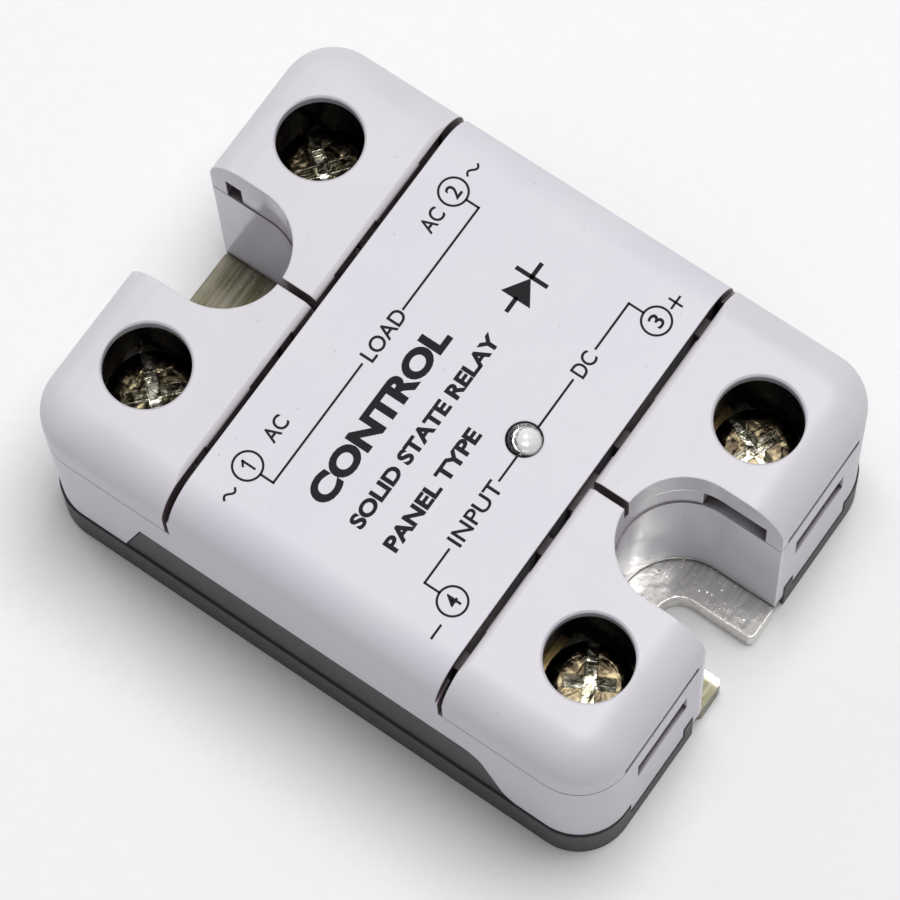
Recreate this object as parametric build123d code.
from build123d import *
import os

# Panel-mount solid state relay, with two load terminals and two control terminals.
# Frame: X across the width, +Y towards the load end, +Z up, origin at the middle of the bottom.
# Everything is in millimetres.

# ---------------------------------------------------------------- driving dimensions
CASE_WIDTH = 44.8
CASE_LENGTH = 60.0
CASE_HEIGHT = 25.0
CORNER_RADIUS = 5.0
EDGE_RADIUS = 4.0
WALL = 1.5

PLATE_THICKNESS = 2.5
SEAL_THICKNESS = 0.3
FIXING_PITCH = 47.6
FIXING_RADIUS = 2.3

NOTCH_RADIUS = 5.85
NOTCH_WALL = 1.3

FLANGE_HEIGHT = 5.0
FLANGE_OVERHANG = 0.2
BAND_HEIGHT = 12.6
BAND_BEND = 2.5
END_SKIRT = (8.5, 16.8)

STRIP_HALF = 13.85
FLAP_BACK = 14.4
FLAP_SET_BACK = 0.12
FLAP_THICKNESS = 2.2
FLAP_SPLIT = 0.7
SEAM_HEIGHT = 18.3
DRIVER_HOLE_RADIUS = 3.9
DRIVER_HOLE_DEPTH = 1.1
WIRE_SLOT = (8.4, 15.8)
WIRE_SLOT_TOP = 14.7

TERMINAL_X = 12.7
TERMINAL_Y = 22.85
CONTACT_HEIGHT = 12.0
SLOT_ANGLES = {1: 47.0, 2: 52.0, 3: 68.0, 4: 28.0}

LED_Y = -7.5
LED_RADIUS = 1.55

HINGE_Y = 15.6
HINGE_Z = 23.5
HINGE_PIN_RADIUS = 0.45

# ---------------------------------------------------------------- clearances
SHUT_GAP = 0.1
RUNNING_GAP = 0.05
REACH = 5.0

# ---------------------------------------------------------------- derived places
HALF_WIDTH = CASE_WIDTH / 2
HALF_LENGTH = CASE_LENGTH / 2
NOTCH_Y = FIXING_PITCH / 2
FLOOR_Z = PLATE_THICKNESS + SEAL_THICKNESS
INSIDE_X = HALF_WIDTH - WALL
INSIDE_Y = HALF_LENGTH - WALL
NOTCH_OUTER = NOTCH_RADIUS + NOTCH_WALL
NOTCH_SKIRT_Z = 21.6
LIP_THICKNESS = 0.7
STRIP_THICKNESS = 2.0
FRAME_WALL_TOP = 11.5
HINGE_SWEEP = HINGE_Y - STRIP_HALF - 0.15


# ---------------------------------------------------------------- building blocks
def box(x, y, z):
    """Box between two opposite corners, given as a pair of limits per axis."""
    low = [min(pair) for pair in (x, y, z)]
    size = [abs(pair[1] - pair[0]) for pair in (x, y, z)]
    return Pos(*low) * Box(*size, align=(Align.MIN, Align.MIN, Align.MIN))


def rod_z(x, y, radius, low, high):
    """Upright cylinder between two heights."""
    rod = Cylinder(radius, high - low, align=(Align.CENTER, Align.CENTER, Align.MIN))
    return Pos(x, y, low) * rod


def rod_x(y, z, radius, left, right):
    """Cylinder along X between two places."""
    low = min(left, right)
    rod = Cylinder(radius, abs(right - left), align=(Align.CENTER, Align.CENTER, Align.MIN))
    return Pos(low, y, z) * Rot(0, 90, 0) * rod


def rounded_block(width, length, radius, low, high):
    """Upright block with rounded plan corners, centred on the origin."""
    outline = Pos(0, 0, low) * RectangleRounded(width, length, radius)
    return extrude(outline, high - low)


def notch_volume(end, radius, low, high):
    """The U-shaped space of one mounting notch, open past the end face."""
    bend = rod_z(0, end * NOTCH_Y, radius, low, high)
    run = box((-radius, radius), (end * NOTCH_Y, end * (HALF_LENGTH + REACH)), (low, high))
    return bend + run


def both_notches(radius, low, high):
    """Both mounting notches as one cutting shape."""
    return notch_volume(1, radius, low, high) + notch_volume(-1, radius, low, high)


def side_profile(shrink):
    """Outline, seen along X, of the tall middle band of the base frame's long sides."""
    top = BAND_HEIGHT - shrink
    foot = FLANGE_HEIGHT - 1.0
    load_top = 17.9 - shrink
    load_foot = 20.3 - shrink
    input_top = -17.8 + shrink
    input_foot = -20.9 + shrink
    ledge_end = input_foot - BAND_BEND
    outline = Polyline(
        (ledge_end, foot),
        (load_foot, foot),
        (load_foot, FLANGE_HEIGHT),
        (load_top, top),
        (input_top, top),
        (input_foot, FLANGE_HEIGHT),
        (ledge_end, FLANGE_HEIGHT),
        (ledge_end, foot),
    )
    face = make_face(outline)
    input_side = face.vertices().filter_by_position(Axis.X, input_foot, input_top)
    return fillet(input_side, BAND_BEND)


def side_band(shrink, half_width):
    """The middle band's profile extruded across the whole width."""
    profile = Plane.YZ * side_profile(shrink)
    return extrude(profile, half_width, both=True)


def clean(shape):
    """One plain solid or compound from the result of a boolean."""
    solids = shape.solids()
    if len(solids) == 1:
        return solids[0]
    return Compound(children=list(solids))


# ---------------------------------------------------------------- whole-case shapes
def case_envelope():
    """Outer shape of the closed case, with its rounded upper edge and both notches."""
    block = rounded_block(CASE_WIDTH, CASE_LENGTH, CORNER_RADIUS, 0, CASE_HEIGHT)
    block = fillet(block.edges().group_by(Axis.Z)[-1], EDGE_RADIUS)
    return block - both_notches(NOTCH_RADIUS, -1, CASE_HEIGHT + 1)


def case_cavity(top):
    """Room inside the case walls up to a height, leaving the notch walls standing."""
    block = rounded_block(2 * INSIDE_X, 2 * INSIDE_Y, CORNER_RADIUS - WALL, -1, top)
    block = fillet(block.edges().group_by(Axis.Z)[-1], EDGE_RADIUS - WALL)
    return block - both_notches(NOTCH_OUTER, -2, top + 1)


# ---------------------------------------------------------------- base
def plate_outline(grow, low, high):
    """Plate-shaped block: a wide body with a tongue reaching each end between the notch walls."""
    body = rounded_block(42.4 + 2 * grow, 57.0 + 2 * grow, 3.6, low, high)
    half_tongue = NOTCH_RADIUS + 0.15 + grow
    tongue = box((-half_tongue, half_tongue), (-HALF_LENGTH, HALF_LENGTH), (low, high))
    return body + tongue


def make_baseplate():
    """Aluminium heat-spreading plate with a round fixing hole and an open fixing slot."""
    plate = plate_outline(0, 0, PLATE_THICKNESS)
    plate -= rod_z(0, NOTCH_Y, FIXING_RADIUS, -1, PLATE_THICKNESS + 1)
    plate -= notch_volume(-1, FIXING_RADIUS, -1, PLATE_THICKNESS + 1)
    upright = plate.edges().filter_by(Axis.Z)
    tips = [edge for edge in upright if abs(edge.center().Y) > HALF_LENGTH - 0.01]
    return fillet(tips, 0.6)


def make_baseplate_seal():
    """Thin bead of sealing adhesive between the plate and the plastic above it."""
    bead = plate_outline(0, PLATE_THICKNESS, FLOOR_Z)
    inner = rounded_block(36.4, 51.6, 3.0, PLATE_THICKNESS - 1, FLOOR_Z + 1)
    inner -= both_notches(NOTCH_OUTER, PLATE_THICKNESS - 2, FLOOR_Z + 2)
    bead -= inner
    return bead - both_notches(NOTCH_RADIUS, PLATE_THICKNESS - 1, FLOOR_Z + 1)


def make_base_frame():
    """Dark lower frame: a flange round the plate, an inner wall and the tall side bands."""
    flange_width = CASE_WIDTH + 2 * FLANGE_OVERHANG
    flange_length = CASE_LENGTH + FLANGE_OVERHANG
    frame = rounded_block(flange_width, flange_length, CORNER_RADIUS, 0, FLANGE_HEIGHT)
    top_edges = frame.edges().group_by(Axis.Z)[-1]
    frame = fillet(top_edges, 0.15)
    frame += rounded_block(
        2 * (INSIDE_X - SHUT_GAP),
        2 * (INSIDE_Y - SHUT_GAP),
        CORNER_RADIUS - WALL - SHUT_GAP,
        FLANGE_HEIGHT - 1,
        FRAME_WALL_TOP,
    )
    band = side_band(SHUT_GAP, HALF_WIDTH - 0.05)
    frame += band - box((-20.8, 20.8), (-50, 50), (FRAME_WALL_TOP, BAND_HEIGHT + 1))
    frame -= rounded_block(38.4, 53.6, 2.6, FLANGE_HEIGHT, BAND_HEIGHT + 1)
    hollow = rounded_block(36.4, 51.6, 3.0, -1, FLANGE_HEIGHT + 1)
    frame -= hollow - both_notches(NOTCH_OUTER + 1.2, -2, FLANGE_HEIGHT)
    for side in (1, -1):
        for end in (1, -1):
            skirt_x = (side * END_SKIRT[0], side * END_SKIRT[1])
            skirt_y = (end * (INSIDE_Y - SHUT_GAP), end * (HALF_LENGTH + 1))
            frame -= box(skirt_x, skirt_y, (FLOOR_Z, FLANGE_HEIGHT + 1))
    frame -= plate_outline(SHUT_GAP, -1, FLOOR_Z)
    return frame - both_notches(NOTCH_OUTER + SHUT_GAP, -2, BAND_HEIGHT + 1)


# ---------------------------------------------------------------- cover housing
LUG_CENTRES = (5.8, 18.1)
LUG_HALF = 0.9
LUG_RADIUS = 0.85
LUG_ROOT_Z = 14.0
BRACE_TOP = 21.3
CROSS_WALL = (12.1, 13.3)
UNDERCUT_X = 20.4
CENTRE_RIB = (12.5, 17.3)
POST_PLACE = (17.4, 10.3)


def hinge_lug(centre, end):
    """Post with an open snap cradle for one hinge pin, braced to the cross wall."""
    x_range = (centre - LUG_HALF, centre + LUG_HALF)
    near = end * (HINGE_Y - LUG_RADIUS)
    far = end * (HINGE_Y + LUG_RADIUS)
    lug = rod_x(end * HINGE_Y, HINGE_Z, LUG_RADIUS, *x_range)
    lug += box(x_range, (near, far), (LUG_ROOT_Z, HINGE_Z))
    lug += box(x_range, (end * CENTRE_RIB[0], far), (LUG_ROOT_Z, BRACE_TOP))
    lug -= rod_x(end * HINGE_Y, HINGE_Z, HINGE_PIN_RADIUS + RUNNING_GAP, centre - 2, centre + 2)
    mouth = (end * (HINGE_Y - 0.4), end * (HINGE_Y + 0.4))
    lug -= box((centre - 2, centre + 2), mouth, (HINGE_Z + 0.2, HINGE_Z + 2))
    return lug


def groove_end_fill(side, end):
    """Sloping infill that closes the outer end of the groove between strip and flap."""
    inner_x = side * UNDERCUT_X
    outer_x = side * (HALF_WIDTH + 1)
    near = end * (STRIP_HALF - 0.2)
    far = end * (STRIP_HALF + 0.2)
    block = box((inner_x, outer_x), (near, far), (SEAM_HEIGHT - 1, 23.0))
    slope = Polyline(
        (inner_x, near, 22.9),
        (outer_x + side, near, 19.8),
        (outer_x + side, near, 24.0),
        (inner_x, near, 24.0),
        (inner_x, near, 22.9),
    )
    cutter = extrude(make_face(slope), REACH, dir=(0, 1, 0), both=True)
    return block - cutter


def make_cover_housing(envelope):
    """Light upper housing: label strip, side and end walls, notch walls and hinge lugs."""
    above = CASE_HEIGHT + 1
    housing = envelope - case_cavity(CASE_HEIGHT - STRIP_THICKNESS)
    housing &= box((-50, 50), (-50, 50), (FLANGE_HEIGHT + SHUT_GAP, above))
    housing -= side_band(0, HALF_WIDTH + 1)
    for end in (1, -1):
        flap_zone = (end * STRIP_HALF, end * (HALF_LENGTH + 1))
        housing -= box((-50, 50), flap_zone, (SEAM_HEIGHT, above))
        undercut = (end * CROSS_WALL[1], end * STRIP_HALF)
        lip_low = CASE_HEIGHT - LIP_THICKNESS
        housing -= box((-UNDERCUT_X, UNDERCUT_X), undercut, (FLANGE_HEIGHT, lip_low))
        cross_wall = (end * CROSS_WALL[0], end * CROSS_WALL[1])
        housing += box((-INSIDE_X, INSIDE_X), cross_wall, (LUG_ROOT_Z, CASE_HEIGHT - 1))
        rib = (end * CENTRE_RIB[0], end * CENTRE_RIB[1])
        housing += box((-2.0, 2.0), rib, (LUG_ROOT_Z, BRACE_TOP))
        wall = notch_volume(end, NOTCH_OUTER, FLOOR_Z, NOTCH_SKIRT_Z - SHUT_GAP)
        wall &= box((-10, 10), (end * 10, end * HALF_LENGTH), (0, above))
        housing += wall
        housing -= notch_volume(end, NOTCH_RADIUS, -1, above)
        step_radius = NOTCH_RADIUS + 0.15
        housing -= notch_volume(end, step_radius, SEAM_HEIGHT, above)
        corner = (end * (HALF_LENGTH - 1.8), end * (HALF_LENGTH + 1))
        housing -= box((-10, 10), corner, (SEAM_HEIGHT, above))
        window_start = 22.0 if end < 0 else 26.8
        window = (end * window_start, end * (HALF_LENGTH + 1))
        housing -= box((-10, 10), window, (SEAM_HEIGHT, above))
        for side in (1, -1):
            for centre in LUG_CENTRES:
                housing += hinge_lug(side * centre, end)
            housing += groove_end_fill(side, end) & envelope
            post_x = side * POST_PLACE[0]
            post_y = end * POST_PLACE[1]
            housing += rod_z(post_x, post_y, 1.2, BOARD_TOP, CASE_HEIGHT - 1)
            skirt_x = (side * (END_SKIRT[0] + SHUT_GAP), side * (END_SKIRT[1] - SHUT_GAP))
            skirt_y = (end * INSIDE_Y, end * (HALF_LENGTH + 1))
            skirt_z = (FLOOR_Z + SHUT_GAP, FLANGE_HEIGHT + 1)
            housing += envelope & box(skirt_x, skirt_y, skirt_z)
            wire_slot = (side * WIRE_SLOT[0], side * WIRE_SLOT[1])
            through = (end * (INSIDE_Y - 1), end * (HALF_LENGTH + 1))
            housing -= box(wire_slot, through, (FRAME_WALL_TOP, WIRE_SLOT_TOP))
    return housing - rod_z(0, LED_Y, LED_RADIUS + 0.1, 10, above)


# ---------------------------------------------------------------- flap covers
def make_flap(envelope, side, end):
    """One hinged terminal cover, with its skirts, driver hole and snap-in hinge pins."""
    above = CASE_HEIGHT + 1
    low = SEAM_HEIGHT + 0.15
    x_range = (side * FLAP_SPLIT / 2, side * (HALF_WIDTH + 1))
    y_range = (end * FLAP_BACK, end * (HALF_LENGTH + 1))
    flap = envelope & box(x_range, y_range, (low, above))
    flap -= case_cavity(CASE_HEIGHT - FLAP_THICKNESS)
    skirt_cut = notch_volume(end, NOTCH_OUTER + 0.2, low - 1, NOTCH_SKIRT_Z)
    skirt_cut &= box((-10, 10), (end * 10, end * (HALF_LENGTH - WALL - 0.2)), (low - 1, above))
    flap -= skirt_cut
    for inner, outer in ((3.1, 9.3), (15.7, HALF_WIDTH + 1)):
        strip_side = (end * (FLAP_BACK - 1), end * (FLAP_BACK + FLAP_SET_BACK))
        flap -= box((side * inner, side * outer), strip_side, (low - 1, above))
    heel = box(x_range, (end * (FLAP_BACK - 1), end * HINGE_Y), (HINGE_Z, above))
    flap -= heel - rod_x(end * HINGE_Y, HINGE_Z, HINGE_SWEEP, side * 0, side * 30)
    entry = (side * 6.8, side * 17.8)
    flap -= box(entry, (end * (INSIDE_Y - 0.5), end * (HALF_LENGTH + 1)), (low - 1, low + 0.95))
    hole_y = end * TERMINAL_Y
    flap -= rod_z(side * TERMINAL_X, hole_y, DRIVER_HOLE_RADIUS, 20, above)
    recess_top = CASE_HEIGHT - DRIVER_HOLE_DEPTH
    flap -= rod_z(side * TERMINAL_X, hole_y, DRIVER_HOLE_RADIUS + 0.9, 20, recess_top)
    bevel = Cone(DRIVER_HOLE_RADIUS, DRIVER_HOLE_RADIUS + 0.4, 0.4)
    flap -= Pos(side * TERMINAL_X, hole_y, CASE_HEIGHT) * bevel
    for centre in LUG_CENTRES:
        flap -= lug_pocket(side * centre, end)
        half_pin = LUG_HALF + 0.6
        flap += rod_x(
            end * HINGE_Y,
            HINGE_Z,
            HINGE_PIN_RADIUS,
            side * centre - half_pin,
            side * centre + half_pin,
        )
    return flap


def lug_pocket(centre, end):
    """Room in a flap for one hinge lug, through the whole swing of the flap."""
    half = LUG_HALF + 0.2
    room = LUG_RADIUS + 0.1
    x_range = (centre - half, centre + half)
    pocket = rod_x(end * HINGE_Y, HINGE_Z, room, *x_range)
    pocket += box(x_range, (end * (FLAP_BACK - 1), end * HINGE_Y), (HINGE_Z - 3, HINGE_Z + room))
    pocket += box(x_range, (end * HINGE_Y, end * (HINGE_Y + room)), (HINGE_Z - 3, HINGE_Z))
    return pocket


# ---------------------------------------------------------------- terminals
class TerminalSize:
    """Sizes of one kind of screw terminal."""

    def __init__(self, thread, head, head_height, clamp, nut, nut_height, bar):
        self.thread_radius = thread / 2
        self.head_radius = head / 2
        self.head_height = head_height
        self.clamp_half = clamp / 2
        self.nut_half = nut / 2
        self.nut_height = nut_height
        self.bar_thickness = bar


LOAD = TerminalSize(4.8, 9.0, 3.4, 9.4, 7.7, 3.6, 1.2)
INPUT = TerminalSize(3.8, 8.0, 3.0, 8.6, 7.0, 3.0, 0.8)
CLAMP_THICKNESS = 1.3
WASHER_THICKNESS = 1.2
HEAD_Z = CONTACT_HEIGHT + CLAMP_THICKNESS + WASHER_THICKNESS
SHANK_END = 6.4
LOAD_BAR_HALF = 4.2
INPUT_STRIP_HALF = 3.6
BAR_END = 26.7
BAR_FOOT_Z = 4.3
BLOCK_TOP = 21.0
WELL_HALF = 4.95


def make_screw(size, x, y, angle):
    """Pan-head terminal screw with a driver slot and a cross recess."""
    head = rod_z(0, 0, size.head_radius, 0, size.head_height)
    rim = head.edges().group_by(Axis.Z)[-1]
    head = fillet(rim, size.head_height * 0.45)
    half_slot = 0.5
    reach = size.head_radius + 1
    slot_floor = size.head_height - 1.4
    head -= box((-reach, reach), (-half_slot, half_slot), (slot_floor, size.head_height + 1))
    wing = size.head_radius * 0.56
    cross_floor = size.head_height - 2.3
    half_wing = 0.55
    head -= box((-wing, wing), (-half_wing, half_wing), (cross_floor, size.head_height + 1))
    head -= box((-half_wing, half_wing), (-wing, wing), (cross_floor, size.head_height + 1))
    shank = rod_z(0, 0, size.thread_radius, SHANK_END - HEAD_Z, 0)
    tip = shank.edges().group_by(Axis.Z)[0]
    shank = chamfer(tip, 0.5)
    return Pos(x, y, HEAD_Z) * Rot(0, 0, angle) * (head + shank)


def make_clamp_plate(size, x, y):
    """Square pressure plate that the screw carries, grooved underneath to bite the wire."""
    low = CONTACT_HEIGHT
    plate = rounded_block(2 * size.clamp_half, 2 * size.clamp_half, 0.6, low, low + CLAMP_THICKNESS)
    plate -= rod_z(0, 0, size.thread_radius + 0.25, low - 1, low + 3)
    groove_pitch = 1.5
    for step in range(-2, 3):
        groove_y = step * groove_pitch
        reach = size.clamp_half + 1
        plate -= box((-reach, reach), (groove_y - 0.25, groove_y + 0.25), (low - 1, low + 0.25))
    return Pos(x, y, 0) * plate


def make_spring_washer(size, x, y):
    """Split spring washer under the screw head."""
    low = CONTACT_HEIGHT + CLAMP_THICKNESS
    outer = size.head_radius - 0.25
    washer = rod_z(0, 0, outer, low, low + WASHER_THICKNESS)
    washer -= rod_z(0, 0, size.thread_radius + 0.25, low - 1, low + 3)
    split = box((0, outer + 1), (-0.3, 0.3), (low - 1, low + 3))
    return Pos(x, y, 0) * (washer - Rot(0, 0, 35) * split)


def make_nut(size, x, y):
    """Square captive nut under the terminal bar."""
    high = CONTACT_HEIGHT - size.bar_thickness
    low = high - size.nut_height
    nut = rounded_block(2 * size.nut_half, 2 * size.nut_half, 0.5, low, high)
    nut -= rod_z(0, 0, size.thread_radius + RUNNING_GAP, low - 1, high + 1)
    return Pos(x, y, 0) * nut


def make_load_busbar(side):
    """Tinned copper bar from under the load clamp down to the power substrate."""
    size = LOAD
    centre = side * TERMINAL_X
    x_range = (centre - LOAD_BAR_HALF, centre + LOAD_BAR_HALF)
    top = CONTACT_HEIGHT
    low = top - size.bar_thickness
    leg_y = 10.0
    leg_back = leg_y + size.bar_thickness
    bar = box(x_range, (leg_y, BAR_END), (low, top))
    bar += box(x_range, (leg_y, leg_back), (BAR_FOOT_Z, top))
    bar += box(x_range, (5.4, leg_back), (BAR_FOOT_Z, BAR_FOOT_Z + 1.0))
    return bar - rod_z(centre, TERMINAL_Y, size.thread_radius + 0.25, low - 1, top + 1)


def make_input_strip(side):
    """Brass strip from under a control clamp to its pin in the circuit board."""
    size = INPUT
    centre = side * TERMINAL_X
    top = CONTACT_HEIGHT
    low = top - size.bar_thickness
    x_range = (centre - INPUT_STRIP_HALF, centre + INPUT_STRIP_HALF)
    strip = box(x_range, (-BAR_END, -14.0), (low, top))
    strip += box((centre - 1.2, centre + 1.2), (-14.5, -10.0), (low, top))
    strip += box((centre - 0.6, centre + 0.6), (-10.8, -10.0), (low, 18.2))
    return strip - rod_z(centre, -TERMINAL_Y, size.thread_radius + 0.25, low - 1, top + 1)


def make_terminal_block(end, size):
    """Dark insulating block that seats the nuts and bars and walls in both terminals."""
    low = FLANGE_HEIGHT
    shelf = FRAME_WALL_TOP + SHUT_GAP
    block = rounded_block(38.2, 53.4, 2.5, low, shelf)
    block &= box((-50, 50), (end * 14.1, end * 40), (0, 50))
    upper = rounded_block(41.0, 56.2, 3.1, shelf, BLOCK_TOP)
    block += upper & box((-50, 50), (end * 16.6, end * 40), (0, 50))
    block -= notch_volume(end, NOTCH_OUTER + SHUT_GAP, 0, 50)
    block -= box((-2.1, 2.1), (end * 14, end * 17.5), (13.9, 50))
    for side in (1, -1):
        x = side * TERMINAL_X
        y = end * TERMINAL_Y
        well_x = (x - WELL_HALF, x + WELL_HALF)
        well_y = (y - WELL_HALF, y + WELL_HALF)
        block -= box(well_x, well_y, (CONTACT_HEIGHT, BLOCK_TOP + 1))
        bar_low = CONTACT_HEIGHT - size.bar_thickness
        bar_half = LOAD_BAR_HALF if end > 0 else INPUT_STRIP_HALF
        bar_y = (end * 13, end * BAR_END)
        block -= box((x - bar_half, x + bar_half), bar_y, (bar_low, CONTACT_HEIGHT + SHUT_GAP))
        nut_low = bar_low - size.nut_height
        nut_x = (x - size.nut_half, x + size.nut_half)
        nut_y = (y - end * size.nut_half, end * 27)
        block -= box(nut_x, nut_y, (nut_low, bar_low + 0.1))
        block -= rod_z(x, y, size.thread_radius + 0.4, SHANK_END - 0.6, nut_low + 1)
        wire_way = (side * WIRE_SLOT[0], side * WIRE_SLOT[1])
        block -= box(wire_way, (end * 26, end * 32), (CONTACT_HEIGHT, WIRE_SLOT_TOP))
        sill_x = (side * (WIRE_SLOT[0] + SHUT_GAP), side * (WIRE_SLOT[1] - SHUT_GAP))
        block += box(sill_x, (end * 28, end * (HALF_LENGTH - 0.3)), (shelf, CONTACT_HEIGHT))
        for centre in LUG_CENTRES:
            lug_room = (side * (centre - 1.1), side * (centre + 1.1))
            block -= box(lug_room, (end * 12, end * 16.6), (13.9, 50))
    return block


# ---------------------------------------------------------------- power stage
SUBSTRATE_TOP = 3.4
PAD_TOP = 3.7
CHIP_TOP = 4.1
CHIP_SPOTS = ((-6.0, -2.0), (6.0, -2.0))


def make_ceramic_substrate():
    """Insulating ceramic tile that carries the power stage."""
    return rounded_block(36.0, 24.0, 0.3, PLATE_THICKNESS, SUBSTRATE_TOP)


def make_substrate_pads():
    """Copper pads bonded to the tile: one under each bar foot and one under each chip."""
    foot_pad = (5.0, 11.4)
    spots = []
    for side in (1, -1):
        spots.append(box((side * 8.0, side * 17.4), foot_pad, (SUBSTRATE_TOP, BAR_FOOT_Z)))
    spots += [box((x - 5.0, x + 5.0), (-7.5, 3.6), (SUBSTRATE_TOP, PAD_TOP)) for x, _ in CHIP_SPOTS]
    return Compound(children=spots)


def make_thyristor_chip(spot):
    """Bare thyristor chip soldered to its pad."""
    x, y = spot
    chip = box((x - 3.6, x + 3.6), (y - 3.6, y + 3.6), (PAD_TOP, CHIP_TOP))
    return chamfer(chip.edges().group_by(Axis.Z)[-1], 0.12)


def make_chip_strap(spot, side):
    """Copper strap from the top of a chip across to the neighbouring bar foot."""
    x, y = spot
    half = 1.6
    x_range = (side * 9.0, side * 12.2)
    top = 6.5
    strap = box((x - half, x + half), (y - half, y + half), (CHIP_TOP, CHIP_TOP + 0.8))
    strap += box((x - half, x + half), (y + half - 0.8, y + half), (CHIP_TOP, top))
    strap += box((x - half, side * 12.2), (y + half - 0.8, y + half), (top - 0.8, top))
    strap += box(x_range, (y + half - 0.8, 7.5), (top - 0.8, top))
    strap += box(x_range, (6.7, 7.5), (5.3, top))
    return strap


def make_gate_pins():
    """Four upright gate and sense pins from the chips' pads up through the board."""
    pins = []
    for x, y in CHIP_SPOTS:
        for shift in (-3.9, 3.9):
            pin_x = x + shift
            pins.append(rod_z(pin_x, -6.6, 0.35, PAD_TOP, 18.0))
    return Compound(children=pins)


def make_potting(embedded):
    """Soft potting compound over the power stage, cast round everything in it."""
    fill = rounded_block(36.2, 27.6, 0.5, SUBSTRATE_TOP, 8.0)
    for piece in embedded:
        fill -= piece
    return fill


# ---------------------------------------------------------------- control electronics
BOARD_LOW = 15.5
BOARD_TOP = 17.1


def make_control_board():
    """Circuit board hung under the label strip on the housing's posts."""
    board = rounded_block(40.0, 23.6, 1.0, BOARD_LOW, BOARD_TOP)
    for side in (1, -1):
        board -= rod_z(side * TERMINAL_X, -10.4, 0.9, BOARD_LOW - 1, BOARD_TOP + 1)
    for x, y in CHIP_SPOTS:
        for shift in (-3.9, 3.9):
            board -= rod_z(x + shift, -6.6, 0.45, BOARD_LOW - 1, BOARD_TOP + 1)
    return board


def make_dual_row_package(x, y, length, width, height, pins, pitch):
    """Moulded integrated circuit with two rows of bent legs standing on the board."""
    low = BOARD_TOP + 0.5
    body = box((x - length / 2, x + length / 2), (y - width / 2, y + width / 2), (low, low + height))
    body = chamfer(body.edges().group_by(Axis.Z)[-1], 0.3)
    first = x - pitch * (pins - 1) / 2
    for row in (1, -1):
        for index in range(pins):
            leg_x = first + index * pitch
            leg = (leg_x - 0.3, leg_x + 0.3)
            outer = y + row * (width / 2 + 0.9)
            body += box(leg, (y + row * width / 2, outer), (low + height / 2, low + height / 2 + 0.3))
            body += box(leg, (outer - row * 0.3, outer), (BOARD_TOP, low + height / 2 + 0.3))
    return body


def make_status_led():
    """Clear domed indicator that stands through the label strip."""
    base_z = 20.6
    dome_z = 24.6
    lens = rod_z(0, LED_Y, LED_RADIUS, base_z, dome_z)
    dome = Pos(0, LED_Y, dome_z) * Sphere(LED_RADIUS)
    lens += dome & box((-5, 5), (LED_Y - 5, LED_Y + 5), (dome_z, 40))
    return lens + rod_z(0, LED_Y, LED_RADIUS + 0.4, base_z, base_z + 1.0)


def make_led_leads():
    """Two wire leads from the indicator down into the board."""
    leads = [rod_z(shift, LED_Y, 0.25, BOARD_TOP, 20.6) for shift in (-0.9, 0.9)]
    return Compound(children=leads)


def make_capacitor_can():
    """Aluminium smoothing capacitor lying on the board."""
    radius = 2.6
    can = rod_x(6.5, BOARD_TOP + radius, radius, -17.5, -8.5)
    return fillet(can.edges(), 0.4)


def make_film_capacitor():
    """Box-shaped snubber capacitor under the board."""
    block = box((-18.0, -11.0), (-8.6, -2.6), (9.2, BOARD_LOW))
    return fillet(block.edges().filter_by(Axis.Z), 0.5)


def make_varistor():
    """Round voltage limiter standing under the board."""
    disc = rod_x(0.5, 12.0, 3.4, 12.0, 15.0)
    return fillet(disc.edges(), 0.8)


def make_board_resistors():
    """Axial resistors lying on the board, in a row."""
    parts = []
    pitch = 2.9
    for index in range(4):
        y = 2.0 + index * pitch
        body = fillet(rod_x(y, BOARD_TOP + 0.9, 0.85, 9.5, 15.0).edges(), 0.25)
        body += rod_x(y, BOARD_TOP + 0.9, 0.25, 8.6, 15.9)
        for lead_x in (8.6, 15.9):
            body += rod_z(lead_x, y, 0.25, BOARD_TOP, BOARD_TOP + 1.15)
        parts.append(clean(body))
    return Compound(children=parts)


def make_trimmer():
    """Small square preset resistor on the board."""
    block = box((-4.6, 0.4), (5.0, 10.0), (BOARD_TOP, BOARD_TOP + 3.6))
    block -= rod_z(-2.1, 7.5, 1.6, BOARD_TOP + 3.0, BOARD_TOP + 5)
    dial = rod_z(-2.1, 7.5, 1.35, BOARD_TOP + 2.9, BOARD_TOP + 3.8)
    dial -= box((-4.0, 0.0), (7.25, 7.75), (BOARD_TOP + 3.4, BOARD_TOP + 5))
    return block + dial


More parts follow.
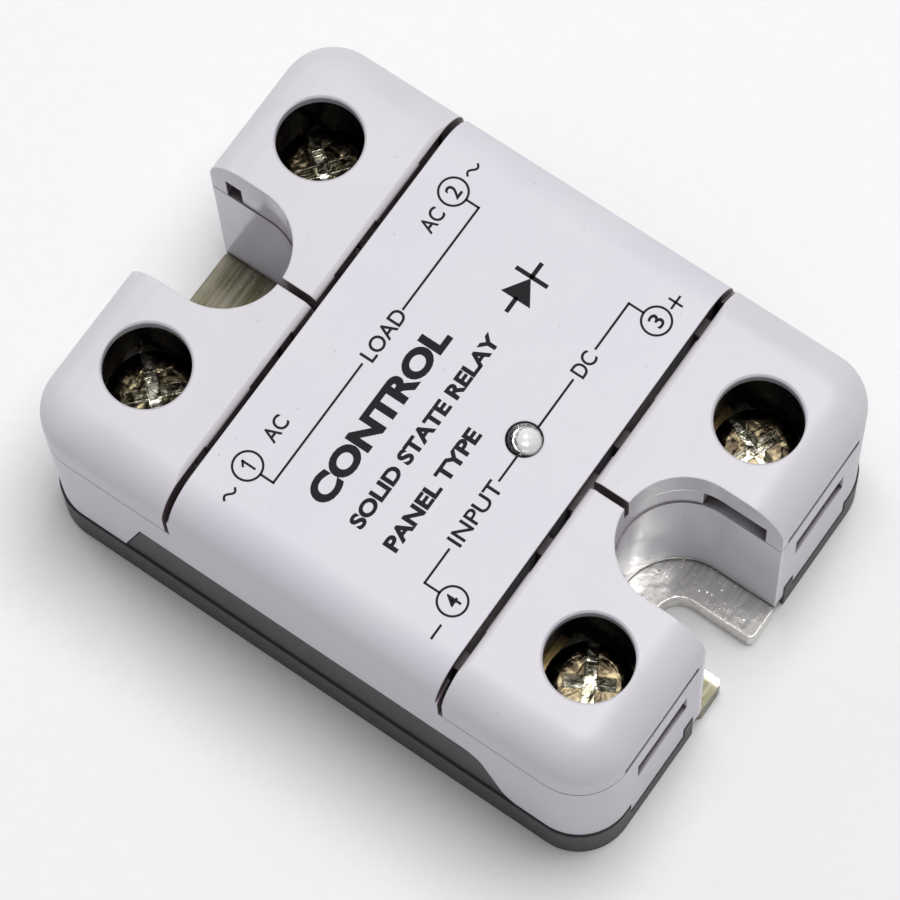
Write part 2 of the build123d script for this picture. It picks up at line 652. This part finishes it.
# ---------------------------------------------------------------- assembly
def build_parts():
    """Every piece of the relay by node name."""
    envelope = case_envelope()
    corners = {1: (-1, 1), 2: (1, 1), 3: (1, -1), 4: (-1, -1)}
    parts = {
        "baseplate": make_baseplate(),
        "baseplate_seal": make_baseplate_seal(),
        "base_frame": make_base_frame(),
        "cover_housing": make_cover_housing(envelope),
        "load_terminal_block": make_terminal_block(1, LOAD),
        "input_terminal_block": make_terminal_block(-1, INPUT),
    }
    nuts = []
    for number, (side, end) in corners.items():
        size = LOAD if end > 0 else INPUT
        x = side * TERMINAL_X
        y = end * TERMINAL_Y
        parts[f"flap_cover_{number}"] = make_flap(envelope, side, end)
        parts[f"terminal_screw_{number}"] = make_screw(size, x, y, SLOT_ANGLES[number])
        parts[f"clamp_plate_{number}"] = make_clamp_plate(size, x, y)
        parts[f"spring_washer_{number}"] = make_spring_washer(size, x, y)
        nuts.append(clean(make_nut(size, x, y)))
    parts["terminal_nuts"] = Compound(children=nuts)
    parts["load_busbar_1"] = make_load_busbar(-1)
    parts["load_busbar_2"] = make_load_busbar(1)
    parts["input_strip_3"] = make_input_strip(1)
    parts["input_strip_4"] = make_input_strip(-1)
    parts["ceramic_substrate"] = make_ceramic_substrate()
    parts["substrate_pads"] = make_substrate_pads()
    for number, (spot, side) in enumerate(zip(CHIP_SPOTS, (-1, 1)), start=1):
        parts[f"thyristor_chip_{number}"] = make_thyristor_chip(spot)
        parts[f"chip_strap_{number}"] = make_chip_strap(spot, side)
    parts["gate_pins"] = make_gate_pins()
    embedded = ["substrate_pads", "gate_pins", "load_busbar_1", "load_busbar_2"]
    embedded += ["thyristor_chip_1", "thyristor_chip_2", "chip_strap_1", "chip_strap_2"]
    parts["potting_compound"] = make_potting([parts[name] for name in embedded])
    parts["control_board"] = make_control_board()
    parts["trigger_coupler"] = make_dual_row_package(3.5, -3.0, 7.0, 5.0, 3.0, 3, 2.3)
    parts["phase_control_chip"] = make_dual_row_package(-9.5, -1.5, 9.0, 4.4, 2.6, 5, 1.7)
    parts["status_led"] = make_status_led()
    parts["led_leads"] = make_led_leads()
    parts["smoothing_capacitor"] = make_capacitor_can()
    parts["snubber_capacitor"] = make_film_capacitor()
    parts["varistor"] = make_varistor()
    parts["board_resistors"] = make_board_resistors()
    parts["trimmer"] = make_trimmer()
    return parts


def main():
    """Write one file per piece."""
    os.makedirs("parts", exist_ok=True)
    for name, shape in build_parts().items():
        export_step(clean(shape), f"parts/{name}.step")
        print(name, len(shape.solids()), round(shape.volume, 2))


main()
